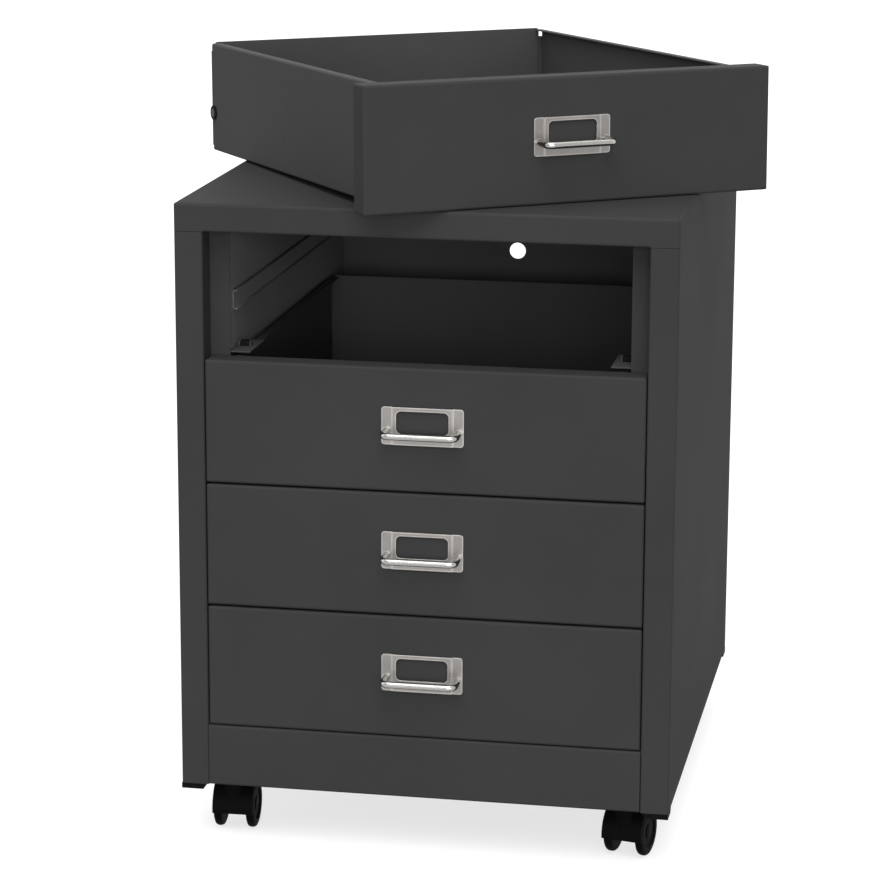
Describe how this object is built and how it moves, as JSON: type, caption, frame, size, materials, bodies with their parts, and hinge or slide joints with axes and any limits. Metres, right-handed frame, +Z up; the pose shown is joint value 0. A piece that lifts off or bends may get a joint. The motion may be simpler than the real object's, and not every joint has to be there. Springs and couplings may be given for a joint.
{
  "type": "drawer cabinet",
  "caption": "Low sheet-steel drawer cabinet on twin-wheel castors, each drawer with a label holder and rod pull; the top drawer lies lifted out across the top.",
  "frame": {"origin": "on the floor, at the middle of the ground that the cabinet and the lifted drawer cover together", "axes": "+X to the right of someone who faces the drawers, +Y from the front to the back, +Z up"},
  "size_m": [0.4952, 0.5077, 0.6284],
  "materials": {
    "casing_paint": "dark grey powder coat, fine orange peel, satin",
    "drawer_paint": "dark grey powder coat, fine orange peel, satin",
    "inner_paint": "dark grey powder coat, satin",
    "satin_nickel": "satin nickel plate",
    "zinc_plate": "bright zinc plate",
    "roller_plastic": "black nylon",
    "castor_plastic": "black moulded plastic, fine grain",
    "wheel_plastic": "black nylon, smooth tread",
    "pad_plastic": "black moulded plastic"
  },
  "bodies": {
    "casing": {"top_cover": "casing_paint", "left_side": "casing_paint", "right_side": "casing_paint", "back_panel": "casing_paint", "base_pan": "casing_paint", "base_rail": "casing_paint", "left_liner": "inner_paint", "right_liner": "inner_paint", "left_tracks": "inner_paint", "right_tracks": "inner_paint", "roller_brackets": "inner_paint", "bracket_pins": "zinc_plate", "corner_pads": "pad_plastic", "castor_mounts": "zinc_plate"},
    "drawer_1": {"drawer_1_front": "drawer_paint", "drawer_1_tray": "drawer_paint", "drawer_1_label_holder": "satin_nickel", "drawer_1_pull": "satin_nickel", "drawer_1_pins": "zinc_plate"},
    "rear_rollers_1": {"drawer_1_rollers": "roller_plastic"},
    "front_rollers_1": {"bracket_rollers_1": "roller_plastic"},
    "drawer_2": {"drawer_2_front": "drawer_paint", "drawer_2_tray": "drawer_paint", "drawer_2_label_holder": "satin_nickel", "drawer_2_pull": "satin_nickel", "drawer_2_pins": "zinc_plate"},
    "rear_rollers_2": {"drawer_2_rollers": "roller_plastic"},
    "front_rollers_2": {"bracket_rollers_2": "roller_plastic"},
    "drawer_3": {"drawer_3_front": "drawer_paint", "drawer_3_tray": "drawer_paint", "drawer_3_label_holder": "satin_nickel", "drawer_3_pull": "satin_nickel", "drawer_3_pins": "zinc_plate"},
    "rear_rollers_3": {"drawer_3_rollers": "roller_plastic"},
    "front_rollers_3": {"bracket_rollers_3": "roller_plastic"},
    "drawer_4": {"drawer_4_front": "drawer_paint", "drawer_4_tray": "drawer_paint", "drawer_4_label_holder": "satin_nickel", "drawer_4_pull": "satin_nickel", "drawer_4_pins": "zinc_plate"},
    "rear_rollers_4": {"drawer_4_rollers": "roller_plastic"},
    "front_rollers_4": {"bracket_rollers_4": "roller_plastic"},
    "front_left_castor": {"front_left_castor_hood": "castor_plastic", "front_left_castor_axle": "zinc_plate"},
    "front_left_wheel_a": {"front_left_wheel_a": "wheel_plastic"},
    "front_left_wheel_b": {"front_left_wheel_b": "wheel_plastic"},
    "front_right_castor": {"front_right_castor_hood": "castor_plastic", "front_right_castor_axle": "zinc_plate"},
    "front_right_wheel_a": {"front_right_wheel_a": "wheel_plastic"},
    "front_right_wheel_b": {"front_right_wheel_b": "wheel_plastic"},
    "back_left_castor": {"back_left_castor_hood": "castor_plastic", "back_left_castor_axle": "zinc_plate"},
    "back_left_wheel_a": {"back_left_wheel_a": "wheel_plastic"},
    "back_left_wheel_b": {"back_left_wheel_b": "wheel_plastic"},
    "back_right_castor": {"back_right_castor_hood": "castor_plastic", "back_right_castor_axle": "zinc_plate"},
    "back_right_wheel_a": {"back_right_wheel_a": "wheel_plastic"},
    "back_right_wheel_b": {"back_right_wheel_b": "wheel_plastic"}
  },
  "joints": [
    {"name": "drawer_1_lift", "type": "slide", "parent": "casing", "child": "drawer_1", "axis": [0, 0, 1], "range_m": [0, 0.15]},
    {"name": "rear_rollers_1_turn", "type": "hinge", "parent": "drawer_1", "child": "rear_rollers_1", "pos_m": [-0.11277, 0.15864, 0.56126], "axis": [0.8241, 0.5664, 0], "continuous": true},
    {"name": "front_rollers_1_turn", "type": "hinge", "parent": "casing", "child": "front_rollers_1", "pos_m": [-0.00498, -0.16369, 0.4067], "axis": [1, 0, 0], "continuous": true},
    {"name": "drawer_2_slide", "type": "slide", "parent": "casing", "child": "drawer_2", "axis": [0, -1, 0], "range_m": [0, 0.3]},
    {"name": "rear_rollers_2_turn", "type": "hinge", "parent": "drawer_2", "child": "rear_rollers_2", "pos_m": [-0.00498, 0.16531, 0.342], "axis": [1, 0, 0], "continuous": true},
    {"name": "front_rollers_2_turn", "type": "hinge", "parent": "casing", "child": "front_rollers_2", "pos_m": [-0.00498, -0.16369, 0.3051], "axis": [1, 0, 0], "continuous": true},
    {"name": "drawer_3_slide", "type": "slide", "parent": "casing", "child": "drawer_3", "axis": [0, -1, 0], "range_m": [0, 0.3]},
    {"name": "rear_rollers_3_turn", "type": "hinge", "parent": "drawer_3", "child": "rear_rollers_3", "pos_m": [-0.00498, 0.16531, 0.2404], "axis": [1, 0, 0], "continuous": true},
    {"name": "front_rollers_3_turn", "type": "hinge", "parent": "casing", "child": "front_rollers_3", "pos_m": [-0.00498, -0.16369, 0.2035], "axis": [1, 0, 0], "continuous": true},
    {"name": "drawer_4_slide", "type": "slide", "parent": "casing", "child": "drawer_4", "axis": [0, -1, 0], "range_m": [0, 0.3]},
    {"name": "rear_rollers_4_turn", "type": "hinge", "parent": "drawer_4", "child": "rear_rollers_4", "pos_m": [-0.00498, 0.16531, 0.1388], "axis": [1, 0, 0], "continuous": true},
    {"name": "front_rollers_4_turn", "type": "hinge", "parent": "casing", "child": "front_rollers_4", "pos_m": [-0.00498, -0.16369, 0.1019], "axis": [1, 0, 0], "continuous": true},
    {"name": "front_left_swivel", "type": "hinge", "parent": "casing", "child": "front_left_castor", "pos_m": [-0.16748, -0.18769, 0.048], "axis": [0, 0, 1], "continuous": true},
    {"name": "front_left_wheel_a_turn", "type": "hinge", "parent": "front_left_castor", "child": "front_left_wheel_a", "pos_m": [-0.16794, -0.17469, 0.02], "axis": [-0.9994, -0.0349, 0], "continuous": true},
    {"name": "front_left_wheel_b_turn", "type": "hinge", "parent": "front_left_castor", "child": "front_left_wheel_b", "pos_m": [-0.16794, -0.17469, 0.02], "axis": [-0.9994, -0.0349, 0], "continuous": true},
    {"name": "front_right_swivel", "type": "hinge", "parent": "casing", "child": "front_right_castor", "pos_m": [0.15752, -0.18769, 0.048], "axis": [0, 0, 1], "continuous": true},
    {"name": "front_right_wheel_a_turn", "type": "hinge", "parent": "front_right_castor", "child": "front_right_wheel_a", "pos_m": [0.16022, -0.17497, 0.02], "axis": [-0.9781, 0.2079, 0], "continuous": true},
    {"name": "front_right_wheel_b_turn", "type": "hinge", "parent": "front_right_castor", "child": "front_right_wheel_b", "pos_m": [0.16022, -0.17497, 0.02], "axis": [-0.9781, 0.2079, 0], "continuous": true},
    {"name": "back_left_swivel", "type": "hinge", "parent": "casing", "child": "back_left_castor", "pos_m": [-0.16748, 0.22531, 0.048], "axis": [0, 0, 1], "continuous": true},
    {"name": "back_left_wheel_a_turn", "type": "hinge", "parent": "back_left_castor", "child": "back_left_wheel_a", "pos_m": [-0.16138, 0.21384, 0.02], "axis": [0.8829, 0.4695, 0], "continuous": true},
    {"name": "back_left_wheel_b_turn", "type": "hinge", "parent": "back_left_castor", "child": "back_left_wheel_b", "pos_m": [-0.16138, 0.21384, 0.02], "axis": [0.8829, 0.4695, 0], "continuous": true},
    {"name": "back_right_swivel", "type": "hinge", "parent": "casing", "child": "back_right_castor", "pos_m": [0.15752, 0.22531, 0.048], "axis": [0, 0, 1], "continuous": true},
    {"name": "back_right_wheel_a_turn", "type": "hinge", "parent": "back_right_castor", "child": "back_right_wheel_a", "pos_m": [0.14988, 0.2148, 0.02], "axis": [0.809, -0.5878, 0], "continuous": true},
    {"name": "back_right_wheel_b_turn", "type": "hinge", "parent": "back_right_castor", "child": "back_right_wheel_b", "pos_m": [0.14988, 0.2148, 0.02], "axis": [0.809, -0.5878, 0], "continuous": true}
  ]
}
